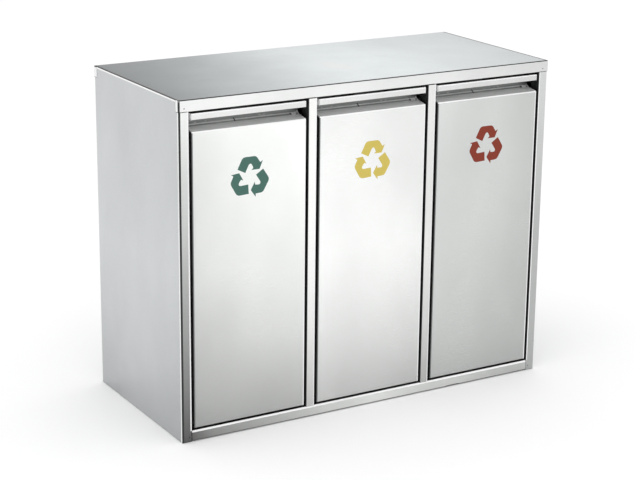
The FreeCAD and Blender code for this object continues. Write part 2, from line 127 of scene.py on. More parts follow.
def lay_floor():
    """Pale matt floor."""
    bm = bmesh.new()
    bmesh.ops.create_grid(bm, x_segments=1, y_segments=1, size=30)
    floor = mesh_object("studio_floor", bm)
    material, shader = new_material("Studio floor")
    shader.inputs["Base Color"].default_value = (0.95, 0.95, 0.95, 1)
    shader.inputs["Roughness"].default_value = 0.9
    shader.inputs["Specular IOR Level"].default_value = 0.1
    floor.data.materials.append(material)


def light_room():
    """Bright room with one dim corner behind the bin, and a softbox overhead."""
    world = bpy.data.worlds.new("Studio room")
    bpy.context.scene.world = world
    world.use_nodes = True
    tree = world.node_tree
    coord = tree.nodes.new("ShaderNodeTexCoord")
    split = tree.nodes.new("ShaderNodeSeparateXYZ")
    wire(tree, (coord.outputs["Generated"], split.inputs[0]))
    # place along a line across the room, from its left end to its right
    across_room = maths(tree, "SUBTRACT", maths(tree, "MULTIPLY", split.outputs["X"], 0.86),
                        maths(tree, "MULTIPLY", split.outputs["Y"], 0.51))
    walls = ramp_of(tree, maths(tree, "ADD", maths(tree, "MULTIPLY", across_room, 0.5), 0.5),
                    ((0.0, 0.85), (0.38, 0.55), (0.45, 0.42), (0.50, 0.80), (0.58, 0.85)))
    ceiling = ramp_of(tree, split.outputs["Z"], ((0.30, 0.0), (0.55, 1.0)))
    room = tree.nodes.new("ShaderNodeMix")
    room.data_type = "RGBA"
    room.inputs[7].default_value = (1.13, 1.13, 1.13, 1)
    wire(tree, (ceiling, room.inputs[0]), (walls, room.inputs[6]),
         (room.outputs[2], tree.nodes["Background"].inputs["Color"]))
    softbox("Overhead softbox", (-1.0, -1.0, 3.6), (0, -0.2, 0.4), 2.6, 2.6, 0.7)
    bpy.context.scene.view_settings.view_transform = "Standard"


# ---- node helpers -------------------------------------------------------------------------------
def new_material(name):
    """Material and its shader."""
    material = bpy.data.materials.new(name)
    material.use_nodes = True
    return material, material.node_tree.nodes["Principled BSDF"]


def wire(tree, *pairs):
    """Join pairs of sockets, each (from, to)."""
    for a, b in pairs:
        tree.links.new(a, b)


def new_group(name, inputs, outputs):
    """Shader node group of plain numbers; inputs are (name, default), outputs are names."""
    group = bpy.data.node_groups.new(name, "ShaderNodeTree")
    for label, default in inputs:
        socket = group.interface.new_socket(label, in_out="INPUT", socket_type="NodeSocketFloat")
        socket.default_value = default
    for label in outputs:
        group.interface.new_socket(label, in_out="OUTPUT", socket_type="NodeSocketFloat")
    return group, group.nodes.new("NodeGroupInput"), group.nodes.new("NodeGroupOutput")


def maths(tree, operation, a, b=None, clamp=False):
    """Math node on sockets or plain numbers."""
    node = tree.nodes.new("ShaderNodeMath")
    node.operation, node.use_clamp = operation, clamp
    for i, value in enumerate((a, b)):
        if value is None:
            continue
        if hasattr(value, "is_linked"):
            tree.links.new(value, node.inputs[i])
        else:
            node.inputs[i].default_value = value
    return node.outputs[0]


def centred(tree, value, gain):
    """A 0 to 1 pattern turned into plus or minus half the gain."""
    return maths(tree, "MULTIPLY", maths(tree, "SUBTRACT", value, 0.5), gain)


def object_split(tree):
    """Object coordinates, one socket for each axis."""
    coord = tree.nodes.new("ShaderNodeTexCoord")
    split = tree.nodes.new("ShaderNodeSeparateXYZ")
    wire(tree, (coord.outputs["Object"], split.inputs[0]))
    return split


def pattern(tree, kind, scale, stretch, detail=3):
    """Noise or cells on Object coordinates, drawn out along the axes."""
    coord = tree.nodes.new("ShaderNodeTexCoord")
    mapping = tree.nodes.new("ShaderNodeMapping")
    mapping.inputs["Scale"].default_value = stretch
    texture = tree.nodes.new(kind)
    texture.inputs["Scale"].default_value = scale
    if kind == "ShaderNodeTexNoise":
        texture.inputs["Detail"].default_value = detail
    wire(tree, (coord.outputs["Object"], mapping.inputs[0]),
         (mapping.outputs[0], texture.inputs["Vector"]))
    return texture


# ---- effects shared by the finishes -------------------------------------------------------------
def satin_group():
    """Fine cross-wise polish, slow waves in the sheet and faint wiping marks."""
    group, into, out = new_group("Satin sheet", (("Grain", 0.5), ("Marks", 0.5), ("Wave", 0.5)),
                                 ("Tone", "Roughness", "Height"))
    grain = pattern(group, "ShaderNodeTexNoise", 90, (0.35, 9.0, 9.0))
    marks = pattern(group, "ShaderNodeTexNoise", 5, (1.0, 1.0, 0.6), 4)
    wave = pattern(group, "ShaderNodeTexNoise", 2.2, (1.0, 1.0, 0.7), 1)
    tone = centred(group, marks.outputs["Fac"], into.outputs["Marks"])
    fine = centred(group, grain.outputs["Fac"], into.outputs["Grain"])
    slow = maths(group, "MULTIPLY", wave.outputs["Fac"], into.outputs["Wave"])
    wire(group, (maths(group, "ADD", tone, maths(group, "MULTIPLY", fine, 0.3)), out.inputs["Tone"]),
         (maths(group, "ADD", tone, fine), out.inputs["Roughness"]),
         (maths(group, "ADD", slow, maths(group, "MULTIPLY", fine, 0.02)), out.inputs["Height"]))
    return group


def dulling_group():
    """Painted reflection and shade: a level that scales a sheet's colour from one end of it, over its
    middle, to the other end.
    """
    group, into, out = new_group("Painted reflection along the sheet",
                                 (("Place", 0.5), ("Start", 1.0), ("Middle", 1.0), ("End", 1.0)),
                                 ("Level",))
    start, middle, end = (into.outputs[label] for label in ("Start", "Middle", "End"))
    first = maths(group, "MULTIPLY", into.outputs["Place"], 2.0, clamp=True)
    twice = maths(group, "MULTIPLY", into.outputs["Place"], 2.0)
    second = maths(group, "SUBTRACT", twice, 1.0, clamp=True)
    rise = maths(group, "MULTIPLY", first, maths(group, "SUBTRACT", middle, start))
    more = maths(group, "MULTIPLY", second, maths(group, "SUBTRACT", end, middle))
    level = maths(group, "ADD", maths(group, "ADD", start, rise), more)
    wire(group, (level, out.inputs["Level"]))
    return group


def spangle_group():
    """Zinc crystals of a galvanised sheet: pale and dark cells with faint borders."""
    group, into, out = new_group("Zinc spangle", (("Scale", 60.0), ("Contrast", 0.4)),
                                 ("Tone", "Roughness"))
    cells = pattern(group, "ShaderNodeTexVoronoi", 60, (1, 1, 1))
    wire(group, (into.outputs["Scale"], cells.inputs["Scale"]))
    level = group.nodes.new("ShaderNodeSeparateColor")
    wire(group, (cells.outputs["Color"], level.inputs[0]))
    wire(group, (centred(group, level.outputs[0], into.outputs["Contrast"]), out.inputs["Tone"]),
         (centred(group, level.outputs[1], into.outputs["Contrast"]), out.inputs["Roughness"]))
    return group


def use_group(tree, key, **values):
    """One of the shared groups, with this material's own values."""
    node = tree.nodes.new("ShaderNodeGroup")
    node.node_tree = GROUPS[key]
    for label, value in values.items():
        node.inputs[label].default_value = value
    return node


def toned(tree, level, colour):
    """Colour scaled by a level that changes over the surface."""
    scale = tree.nodes.new("ShaderNodeVectorMath")
    scale.operation = "SCALE"
    scale.inputs[0].default_value = colour
    wire(tree, (level, scale.inputs["Scale"]))
    return scale.outputs[0]


def painted_reflection_level(tree, axis, span, levels):
    """Painted reflection and shade, as a level from one end of `span` on an axis to the other."""
    dulling = use_group(tree, "dulling", Start=levels[0], Middle=levels[1], End=levels[2])
    place = maths(tree, "DIVIDE", maths(tree, "SUBTRACT", object_split(tree).outputs[axis], span[0]),
                  span[1] - span[0])
    wire(tree, (place, dulling.inputs["Place"]))
    return dulling.outputs["Level"]


def up(*levels):
    """Painted reflection and shade, fading from the foot of the bin to its top."""
    return "Z", (0.0, 0.8), levels


def across(*levels, span=(-0.5, 0.5)):
    """Painted reflection and shade, fading from left to right."""
    return "X", span, levels


def inwards(*levels):
    """Painted reflection and shade, fading from the front of a finger channel to its step."""
    return "Y", (-0.2248, -0.194), levels


def satin_steel(name, colour, roughness, *fades, grain=0.5, marks=0.3, metallic=1.0):
    """Polished stainless sheet; fades paint reflection and shade into its colour along an axis."""
    material, shader = new_material(name)
    tree = material.node_tree
    satin = use_group(tree, "satin", Grain=grain, Marks=marks, Wave=0.5)
    level = maths(tree, "ADD", satin.outputs["Tone"], 1.0)
    # each fade is painted reflection and shade, multiplied into the colour
    for fade in fades:
        level = maths(tree, "MULTIPLY", level, painted_reflection_level(tree, *fade))
    rough = maths(tree, "ADD", maths(tree, "MULTIPLY", satin.outputs["Roughness"], 0.12), roughness)
    bump = tree.nodes.new("ShaderNodeBump")
    bump.inputs["Strength"].default_value = 0.25
    bump.inputs["Distance"].default_value = 0.002
    wire(tree, (toned(tree, level, colour), shader.inputs["Base Color"]),
         (rough, shader.inputs["Roughness"]), (satin.outputs["Height"], bump.inputs["Height"]),
         (bump.outputs[0], shader.inputs["Normal"]))
    shader.inputs["Metallic"].default_value = metallic
    return material


def galvanised_sheet(name, colour, roughness, scale, contrast):
    """Spangled zinc sheet."""
    material, shader = new_material(name)
    tree = material.node_tree
    spangle = use_group(tree, "spangle", Scale=scale, Contrast=contrast)
    satin = use_group(tree, "satin", Grain=0.3, Marks=0.5, Wave=0.4)
    level = maths(tree, "ADD", maths(tree, "ADD", spangle.outputs["Tone"], satin.outputs["Tone"]), 1.0)
    rough = maths(tree, "ADD", maths(tree, "MULTIPLY", spangle.outputs["Roughness"], 0.3), roughness)
    wire(tree, (toned(tree, level, colour), shader.inputs["Base Color"]),
         (rough, shader.inputs["Roughness"]))
    shader.inputs["Metallic"].default_value = 0.9
    return material


def speckled(name, colour, roughness, scale, strength, metallic=0.0, bump_height=0.0, specular=0.5):
    """Finish with a fine mottle: film, rubber, moulded nylon or plated steel."""
    material, shader = new_material(name)
    tree = material.node_tree
    noise = pattern(tree, "ShaderNodeTexNoise", scale, (1, 1, 1), 4)
    level = maths(tree, "ADD", centred(tree, noise.outputs["Fac"], 2 * strength), 1.0)
    rough = maths(tree, "ADD", centred(tree, noise.outputs["Fac"], 0.1), roughness)
    wire(tree, (toned(tree, level, colour), shader.inputs["Base Color"]),
         (rough, shader.inputs["Roughness"]))
    if bump_height:
        bump = tree.nodes.new("ShaderNodeBump")
        bump.inputs["Strength"].default_value = 0.4
        bump.inputs["Distance"].default_value = bump_height
        wire(tree, (noise.outputs["Fac"], bump.inputs["Height"]),
             (bump.outputs[0], shader.inputs["Normal"]))
    shader.inputs["Metallic"].default_value = metallic
    shader.inputs["Specular IOR Level"].default_value = specular
    return material


# ---- dressing the folded sheets -----------------------------------------------------------------
# starts of the names of the nodes that are dressed without bands
PLAINLY_DRESSED = ("partition", "top_stiffener", "back_panel", "tray", "cheek", "ears", "bail_", "catch",
                   "strike", "bushes", "open_stops", "stop_tabs")
X, Y, Z = range(3)          # axes
# Finish numbers: LIGHT is a painted highlight, SHADE is painted shade, the one after it painted half
# shade.
PLAIN, LIGHT, SHADE, HALF_SHADE, FACE, STEP = range(6)        # finish numbers
BEND_CUT, BEND_R = 0.0025, 0.0026   # where a bend is cut from the flat, and just past the cut
# The widths below are of painted bands: a painted line along a folded edge and one along a raw edge.
LINE_W = 0.0042             # line that a folded edge shows
EDGE_W = 0.0012             # line along a sheet's raw edge
RAIL_TOP = 0.0270           # upper edge of the bottom rail
BAR_FOOT = 0.7525           # just under the grip rails' lower edge
DOOR_TOP = 0.7270           # upper edge of a front's flat face


def stand_for(piece, node):
    """Let a piece take the place and the body of a CAD node."""
    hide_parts(node)
    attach(piece, nodes[node]["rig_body"])


def smoothed(piece, angle=35):
    """Smooth shading, sharp where faces meet at more than the angle."""
    piece.data.shade_smooth()
    piece.data.set_sharp_from_angle(angle=math.radians(angle))


def dressed(node, finishes, cuts=(), rule=None, rounds=None):
    """Merged copy of a folded sheet, cut into bands along bends and edges, with true flats.

    cuts are (axis, place) planes; rule gives a finish number from a face's centre and normal;
    rounds says which edges, by their two ends, get a small radius.
    """
    bm = bmesh.new()
    bm.from_mesh(nodes[node].data)
    bmesh.ops.remove_doubles(bm, verts=bm.verts, dist=2e-6)
    bmesh.ops.dissolve_limit(bm, angle_limit=math.radians(0.5), verts=bm.verts, edges=bm.edges)
    if rounds:
        chosen = [e for e in bm.edges if rounds(e.verts[0].co, e.verts[1].co)]
        bmesh.ops.bevel(bm, geom=chosen, offset=0.002, segments=5, profile=0.5, affect="EDGES",
                        clamp_overlap=True)
    for axis, place in cuts:
        direction = Vector((axis == X, axis == Y, axis == Z))
        bmesh.ops.bisect_plane(bm, geom=bm.verts[:] + bm.edges[:] + bm.faces[:], dist=1e-6,
                               plane_co=direction * place, plane_no=direction)
    bmesh.ops.recalc_face_normals(bm, faces=bm.faces)
    if rule:
        for face in bm.faces:
            face.material_index = rule(face.calc_center_median(), face.normal)
    piece = mesh_object(node + "_sheet", bm)
    for finish in finishes:
        piece.data.materials.append(finish)
    smoothed(piece)
    even = piece.modifiers.new("Even normals", "WEIGHTED_NORMAL")
    even.keep_sharp = True
    stand_for(piece, node)


def banded(plain, *faces):
    """Finishes in the order of their numbers: plain sheet, the three painted light and shade bands, then
    faces of their own.
    """
    return [STEELS[key] for key in (plain, "light", "shade", "soft") + faces]


def dress_cap():
    """Top sheet: painted dark lines and a painted highlight where it folds, and painted half shade on the
    edges of its corner tabs.
    """
    lo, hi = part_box("top_cap")
    tab_start, tab_end = lo.y + 0.0128, lo.y + 0.0200

    def rule(c, n):
        if c.z > hi.z - EDGE_W and (abs(c.x) > hi.x - LINE_W or c.y < lo.y + LINE_W):
            return SHADE
        if c.z > hi.z - BEND_R and c.y < lo.y + BEND_R:
            return SHADE if n.z > 0.3 else LIGHT
        if c.y < lo.y + BEND_R and c.x < lo.x + LINE_W:
            return SHADE
        if abs(n.x) > 0.9 and (tab_start < c.y < tab_end or c.z < lo.z + EDGE_W):
            return HALF_SHADE
        return PLAIN if n.z > 0.5 else FACE
    dressed("top_cap", banded("top", "fascia"),
            [(Y, lo.y + BEND_CUT), (Y, lo.y + LINE_W), (Z, hi.z - BEND_CUT), (X, lo.x + LINE_W),
             (X, hi.x - LINE_W), (Y, tab_start), (Z, lo.z + EDGE_W)], rule)


def dress_side(name, way, stile):
    """Side panel with its stile; way is 1 where the bin lies to the right of it, else -1."""
    lo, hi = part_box(name)
    outer, inner = (lo.x, hi.x) if way > 0 else (hi.x, lo.x)
    front_strip, cap_line = lo.y + 0.0070, hi.z - LINE_W
    flank_end, rear_edge = lo.y + 0.0350, hi.y - 0.0015
    dark_w, bright_w = 0.0016, 0.0040

    # Painted bands: a painted shade line at the left corner, painted light strips beside the corner and
    # under the cap, a painted highlight at the stile's inner edge (on the right a painted shade line
    # first), painted shade on the flanks in the gaps, and a painted highlight on the left flank beside
    # the grip rail.
    def rule(c, n):
        front = c.y < lo.y + BEND_R
        from_inner = (inner - c.x) * way
        if front and (c.x - outer) * way < LINE_W:
            return SHADE if way > 0 else FACE
        if abs(c.x - outer) < 1e-4 and (c.y < front_strip or c.z > cap_line):
            return LIGHT
        if front and from_inner < bright_w and c.z > RAIL_TOP:
            return SHADE if way < 0 and from_inner < dark_w else LIGHT
        if n.x * way > 0.7 and (c.y < flank_end or c.y > rear_edge):
            return LIGHT if way > 0 and c.z > BAR_FOOT else SHADE
        return FACE if n.y < -0.5 and c.y < lo.y + 0.01 else PLAIN
    dressed(name, banded("sides", stile),
            [(Y, lo.y + BEND_CUT), (Y, front_strip), (Z, cap_line), (X, inner - way * dark_w),
             (X, inner - way * bright_w), (X, outer + way * LINE_W), (Z, RAIL_TOP), (Z, BAR_FOOT)], rule)


def dress_mullion(name):
    """Post between two fronts: painted shade on its flanks, its hidden faces and its left edge, and a
    painted highlight on its right edge and on its right flank beside the grip rails.
    """
    lo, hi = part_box(name)
    left_edge, right_edge = lo.x + 0.0018, hi.x - 0.0032

    def rule(c, n):
        if abs(n.x) > 0.7:
            return LIGHT if n.x > 0 and c.z > BAR_FOOT else SHADE
        if c.y < lo.y + BEND_R and c.x < left_edge:
            return SHADE
        if c.y < lo.y + BEND_R and c.x > right_edge:
            return LIGHT
        return FACE if n.y < -0.5 else SHADE
    dressed(name, banded("sides", "mullions"), [(X, left_edge), (X, right_edge), (Z, BAR_FOOT)], rule)


def dress_pan():
    """Floor sheet, whose folded front edge is the bottom rail."""
    lo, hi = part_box("base_pan")

    # Painted highlight along the rail's top bend and a painted shade line along its lower edge.
    def rule(c, n):
        if c.y < lo.y + BEND_R and c.z > hi.z - LINE_W:
            return LIGHT
        if c.y < lo.y + BEND_R and c.z < lo.z + EDGE_W:
            return SHADE
        return FACE if n.y < -0.5 and c.y < lo.y + 0.01 else PLAIN
    dressed("base_pan", banded("sides", "bottom rail"), [(Z, hi.z - LINE_W), (Z, lo.z + EDGE_W)], rule)


def dress_door(i):
    """Front sheet with the floor and the step of its finger channel, and its upright edges rounded."""
    name = "door_%d" % i
    lo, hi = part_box(name)
    top_edge, left_edge, right_edge = DOOR_TOP - 0.0022, lo.x + 0.0026, hi.x - 0.0022
    step, strip_start, strip_end = lo.y + 0.0308, lo.y + 0.0345, lo.y + 0.0376

    def upright(a, b):
        return (abs(a.x - b.x) < 1e-5 and abs(a.y - b.y) < 1e-5 and abs(a.z - b.z) > 0.2
                and a.y < lo.y + 1e-4 and (a.x < lo.x + 1e-4 or a.x > hi.x - 1e-4))

    # Painted bands: in the finger channel, painted highlights on its end faces, along its right end and
    # in a strip on its step; on the front, a painted highlight along the top and right edges, painted
    # half shade on the left edge and the left flank, and painted shade on the right flank.
    def rule(c, n):
        if c.z > DOOR_TOP and c.y > lo.y + 0.002:
            if abs(n.x) > 0.75 or c.x > right_edge or strip_start < c.y < strip_end:
                return LIGHT
            return STEP if c.y > step else FACE
        if n.x < -0.75:
            return HALF_SHADE
        if n.x > 0.75:
            return SHADE
        if c.y > lo.y + BEND_R:
            return PLAIN
        if c.z > top_edge:
            return LIGHT
        if c.x < left_edge:
            return HALF_SHADE
        return LIGHT if c.x > right_edge else PLAIN
    dressed(name, banded("front %d" % i, "channel", "wall"),
            [(Z, top_edge), (X, left_edge), (X, right_edge), (Y, step), (Y, strip_start), (Y, strip_end)],
            rule, upright)


def dress_bar(i):
    """Grip rail: painted highlights on its top bend, its left ends and its back and under faces, and
    painted half shade on its lap and the sheltered side of its bar.
    """
    name = "grip_rail_%d" % i
    lo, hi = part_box(name)
    lap, shelter_y, shelter_z = lo.y + 0.0385, lo.y + 0.0085, lo.z + 0.0160

    def rule(c, n):
        if c.y > lap and n.y < -0.5:
            return HALF_SHADE
        if c.y < lo.y + BEND_R and c.z > hi.z - BEND_R or n.x < -0.75:
            return LIGHT
        if n.y > 0.5 or n.z < -0.5:
            return HALF_SHADE if c.y < shelter_y and c.z < shelter_z else LIGHT
        return PLAIN
    dressed(name, banded("grip rails"), rule=rule)


# ---- turned and lofted pieces -------------------------------------------------------------------
ALONG_X = Matrix(((0, 0, 1), (0, 1, 0), (-1, 0, 0)))    # lays a turned piece down along X


def skin(bm, rings):
    """Join rings of equally many points into a tube with closed ends."""
    loops = [[bm.verts.new(p) for p in ring] for ring in rings]
    for a, b in zip(loops, loops[1:]):
        for j in range(len(a)):
            k = (j + 1) % len(a)
            bm.faces.new((a[j], a[k], b[k], b[j]))
    bm.faces.new(loops[0][::-1])
    bm.faces.new(loops[-1])


def turned(bm, profile, segments=32, turn=Matrix.Identity(3)):
    """Solid of revolution; profile is (radius, along) in metres from one end to the other."""
    angles = [2 * math.pi * j / segments for j in range(segments)]
    skin(bm, [[turn @ Vector((radius * math.cos(a), radius * math.sin(a), along)) for a in angles]
              for radius, along in profile])


def sealed(bm):
    """Merge doubled points and turn the faces outwards."""
    bmesh.ops.remove_doubles(bm, verts=bm.verts, dist=1e-7)
    bmesh.ops.recalc_face_normals(bm, faces=bm.faces)


def middle_of_front(i):
    """Where a front's middle is along X."""
    lo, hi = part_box("door_%d" % i)
    return (lo.x + hi.x) / 2


def rounded_loop(half_x, half_y, yc, corner, arc=8):
    """Points round an upright box with rounded corners, anticlockwise from above."""
    ring = []
    for k, (sx, sy) in enumerate(((1, 1), (-1, 1), (-1, -1), (1, -1))):
        for j in range(arc + 1):
            a = math.radians(90 * (k + j / arc))
            ring.append((sx * (half_x - corner) + corner * math.cos(a),
                         yc + sy * (half_y - corner) + corner * math.sin(a)))
    return ring


def make_liner(i, finish):
    """Bucket with two swaged ribs, a stepped foot, a floor panel and a wired rim."""
    lo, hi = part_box("liner_%d" % i)
    bead, rim_out, wall, corner, least_corner, floor = 0.003, 0.002, 0.0008, 0.024, 0.006, 0.001
    rib_out, rib_half = 0.0022, 0.007
    half_x, half_y = (hi.x - lo.x) / 2 - bead - rim_out, (hi.y - lo.y) / 2 - bead - rim_out
    xc, yc, z0, height = middle_of_front(i), (lo.y + hi.y) / 2, lo.z, hi.z - bead - lo.z
    profile = [(-0.006, 0.0), (-0.0022, 0.0012), (-0.0005, 0.0035), (0.0, 0.006)]
    for level in (0.34, 0.66):
        profile += [(rib_out * math.sin(math.pi * k / 8), height * level + rib_half * (k / 4 - 1))
                    for k in range(9)]
    profile += [(0.0, height - 0.006)]
    rim = [(rim_out + bead * math.cos(a), height + bead * math.sin(a))
           for a in (math.radians(v) for v in range(190, -136, -25))]
    inner = [(out - wall, max(z, floor)) for out, z in reversed(profile)]
    panel = [(-0.022, floor), (-0.026, 0.0028), (-0.060, 0.0028)]
    bm = bmesh.new()
    skin(bm, [[(x + xc, y, z0 + z) for x, y in
               rounded_loop(half_x + out, half_y + out, yc, max(least_corner, corner + out))]
              for out, z in profile + rim + inner + panel])
    sealed(bm)
    piece = mesh_object("liner_%d_bucket" % i, bm)
    piece.data.materials.append(finish)
    smoothed(piece, 40)
    stand_for(piece, "liner_%d" % i)


# ---- pieces grown by Geometry Nodes -------------------------------------------------------------
UNTURNED, TO_FRONT, TO_BACK = (0, 0, 0), (math.pi / 2, 0, 0), (-math.pi / 2, 0, 0)      # turns of a piece
UP_SLOPE = (math.radians(33.7), 0, 0)       # square to the step of a finger channel


def geometry_tree(name, inputs):
    """Geometry Nodes tree; inputs are (name, kind, default)."""
    tree = bpy.data.node_groups.new(name, "GeometryNodeTree")
    tree.interface.new_socket("Geometry", in_out="INPUT", socket_type="NodeSocketGeometry")
    for label, kind, default in inputs:
        socket = tree.interface.new_socket(label, in_out="INPUT", socket_type="NodeSocket" + kind)
        if default is not None:
            socket.default_value = default
    tree.interface.new_socket("Geometry", in_out="OUTPUT", socket_type="NodeSocketGeometry")
    return tree, tree.nodes.new("NodeGroupInput"), tree.nodes.new("NodeGroupOutput")


def set_out(tree, into, out, piece, shade=False):
    """End of a tree: the piece on every point, turned as the point says, made real and painted."""
    turn = tree.nodes.new("GeometryNodeInputNamedAttribute")
    turn.data_type = "FLOAT_VECTOR"
    turn.inputs["Name"].default_value = "turn"
    put = tree.nodes.new("GeometryNodeInstanceOnPoints")
    real = tree.nodes.new("GeometryNodeRealizeInstances")
    paint = tree.nodes.new("GeometryNodeSetMaterial")
    wire(tree, (into.outputs["Geometry"], put.inputs["Points"]), (piece, put.inputs["Instance"]),
         (turn.outputs[0], put.inputs["Rotation"]), (put.outputs[0], real.inputs[0]),
         (into.outputs["Finish"], paint.inputs["Material"]), (paint.outputs[0], out.inputs[0]))
    end = real.outputs[0]
    if shade:
        smooth = tree.nodes.new("GeometryNodeSetShadeSmooth")
        wire(tree, (end, smooth.inputs[0]))
        end = smooth.outputs[0]
    wire(tree, (end, paint.inputs["Geometry"]))
    return tree


def heads_tree():
    """Domed heads: rivets, studs and spot welds."""
    tree, into, out = geometry_tree(
        "Domed heads", (("Radius", "Float", 0.003), ("Height", "Float", 0.001),
                        ("Finish", "Material", None)))
    ball = tree.nodes.new("GeometryNodeMeshUVSphere")
    for label, value in (("Segments", 20), ("Rings", 10), ("Radius", 1.0)):
        ball.inputs[label].default_value = value
    size = tree.nodes.new("ShaderNodeCombineXYZ")
    shape = tree.nodes.new("GeometryNodeTransform")
    wire(tree, (into.outputs["Radius"], size.inputs[0]), (into.outputs["Radius"], size.inputs[1]),
         (into.outputs["Height"], size.inputs[2]), (ball.outputs["Mesh"], shape.inputs["Geometry"]),
         (size.outputs[0], shape.inputs["Scale"]))
    return set_out(tree, into, out, shape.outputs[0], True)


def copies_tree():
    """Copies of one turned piece."""
    tree, into, out = geometry_tree("Copies set out", (("Piece", "Object", None),
                                                       ("Finish", "Material", None)))
    info = tree.nodes.new("GeometryNodeObjectInfo")
    wire(tree, (into.outputs["Piece"], info.inputs["Object"]))
    return set_out(tree, into, out, info.outputs["Geometry"])


def sleeve_tree():
    """Moulded sleeve along X: a smooth collar at each end and finger rings between them."""
    tree, into, out = geometry_tree(
        "Ringed sleeve", (("Length", "Float", 0.1), ("Radius", "Float", 0.006),
                          ("Collar", "Float", 0.007), ("Ring height", "Float", 0.0006),
                          ("Rings", "Float", 15.0), ("Finish", "Material", None)))
    ends = [tree.nodes.new("ShaderNodeCombineXYZ") for _ in range(2)]
    line = tree.nodes.new("GeometryNodeCurvePrimitiveLine")
    steps = tree.nodes.new("GeometryNodeResampleCurve")
    steps.inputs["Count"].default_value = 240
    along = tree.nodes.new("GeometryNodeSplineParameter").outputs["Factor"]
    circle = tree.nodes.new("GeometryNodeCurvePrimitiveCircle")
    circle.inputs["Resolution"].default_value = 28
    circle.inputs["Radius"].default_value = 1.0
    tube = tree.nodes.new("GeometryNodeCurveToMesh")
    tube.inputs["Fill Caps"].default_value = True
    off_middle = maths(tree, "ABSOLUTE", maths(tree, "SUBTRACT", along, 0.5))

    def from_share(start, steepness):
        """0 up to a share of the length off its middle, 1 from a little further out."""
        return maths(tree, "MULTIPLY", maths(tree, "SUBTRACT", off_middle, start), steepness, clamp=True)
    phase = maths(tree, "MULTIPLY", maths(tree, "MULTIPLY", into.outputs["Rings"], math.pi), along)
    wave = maths(tree, "ABSOLUTE", maths(tree, "SINE", phase))
    ring = maths(tree, "MULTIPLY", wave, into.outputs["Ring height"])
    body = maths(tree, "ADD", into.outputs["Radius"], ring)
    collar_share, edge_share, edge_round = 0.455, 0.49, 0.0012
    rise = maths(tree, "MULTIPLY", maths(tree, "SUBTRACT", into.outputs["Collar"], body),
                 from_share(collar_share, 120.0))
    rounding = maths(tree, "MULTIPLY", from_share(edge_share, 100.0), edge_round)
    thick = maths(tree, "SUBTRACT", maths(tree, "ADD", body, rise), rounding)
    wire(tree, (maths(tree, "MULTIPLY", into.outputs["Length"], -0.5), ends[0].inputs[0]),
         (maths(tree, "MULTIPLY", into.outputs["Length"], 0.5), ends[1].inputs[0]),
         (ends[0].outputs[0], line.inputs["Start"]), (ends[1].outputs[0], line.inputs["End"]),
         (line.outputs[0], steps.inputs["Curve"]), (steps.outputs[0], tube.inputs["Curve"]),
         (circle.outputs[0], tube.inputs["Profile Curve"]), (thick, tube.inputs["Scale"]))
    return set_out(tree, into, out, tube.outputs[0], True)


def grown(name, spots, tree, values):
    """Plain mesh that a tree grows on spots, each a point and its turn."""
    seed_mesh = bpy.data.meshes.new(name + "_spots")
    seed_mesh.from_pydata([point for point, _ in spots], [], [])
    turns = seed_mesh.attributes.new("turn", "FLOAT_VECTOR", "POINT")
    for item, (_, turn) in zip(turns.data, spots):
        item.vector = turn
    seed = link(bpy.data.objects.new(name + "_spots", seed_mesh))
    modifier = seed.modifiers.new("Grow", "NODES")
    modifier.node_group = tree
    for item in tree.interface.items_tree:
        if item.in_out == "INPUT" and item.name in values:
            modifier[item.identifier] = values[item.name]
    mesh = bpy.data.meshes.new_from_object(seed.evaluated_get(bpy.context.evaluated_depsgraph_get()))
    bpy.data.objects.remove(seed)
    for old in list(mesh.attributes):
        if old.name == "turn":
            mesh.attributes.remove(old)
    mesh.name = name
    return link(bpy.data.objects.new(name, mesh))


def copied(name, bm, spots, finish, angle=35):
    """Copies of a turned piece, drawn round the origin, on its spots."""
    sealed(bm)
    master = mesh_object(name + "_master", bm)
    smoothed(master, angle)
    piece = grown(name, spots, TREES["copies"], {"Piece": master, "Finish": finish})
    bpy.data.objects.remove(master)
    return piece


def make_grip(i, finish):
    """Ringed sleeve on the middle of a carrying bail."""
    lo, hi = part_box("bail_grip_%d" % i)
    values = {"Length": hi.x - lo.x, "Radius": 0.0063, "Collar": (hi.z - lo.z) / 2, "Ring height": 0.0006,
              "Rings": 15.0, "Finish": finish}
    piece = grown("bail_grip_%d_sleeve" % i, [((lo + hi) / 2, UNTURNED)], TREES["sleeve"], values)
    stand_for(piece, "bail_grip_%d" % i)


def make_feet(rubber, steel):
    """Adjustable feet: moulded pads, threaded stems and lock nuts."""
    lo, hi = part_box("glide_pads")
    pad_top, stem_top = hi.z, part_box("glide_stems")[1].z
    pad_r, root_r, crest_r, nut_r = 0.0150, 0.0034, 0.0040, 0.0075
    threads, pitch = 9, 0.00125
    spots = [((x, y, 0), UNTURNED) for x in (lo.x + pad_r, (lo.x + hi.x) / 2, hi.x - pad_r)
             for y in (lo.y + pad_r, hi.y - pad_r)]
    pad, stem = bmesh.new(), bmesh.new()
    turned(pad, [(0.0125, 0.0), (0.0140, 0.0006), (pad_r, 0.0016), (pad_r, 0.0028), (0.0142, 0.0036),
                 (0.0112, 0.0060), (0.0102, 0.0074), (0.0094, pad_top), (0.0050, pad_top)], 40)
    profile = [(root_r, pad_top - 0.0005)]
    for k in range(threads):
        z = pad_top + 0.0008 + k * pitch
        profile += [(root_r, z), (crest_r, z + 0.0006)]
    turned(stem, profile + [(crest_r, stem_top)], 20)
    turned(stem, [(0.0066, stem_top - 0.0065), (nut_r, stem_top - 0.0058), (nut_r, stem_top - 0.0002),
                  (0.0072, stem_top)], 6)
    stand_for(copied("glide_pads_moulded", pad, spots, rubber), "glide_pads")
    stand_for(copied("glide_stems_threaded", stem, spots, steel, 25), "glide_stems")


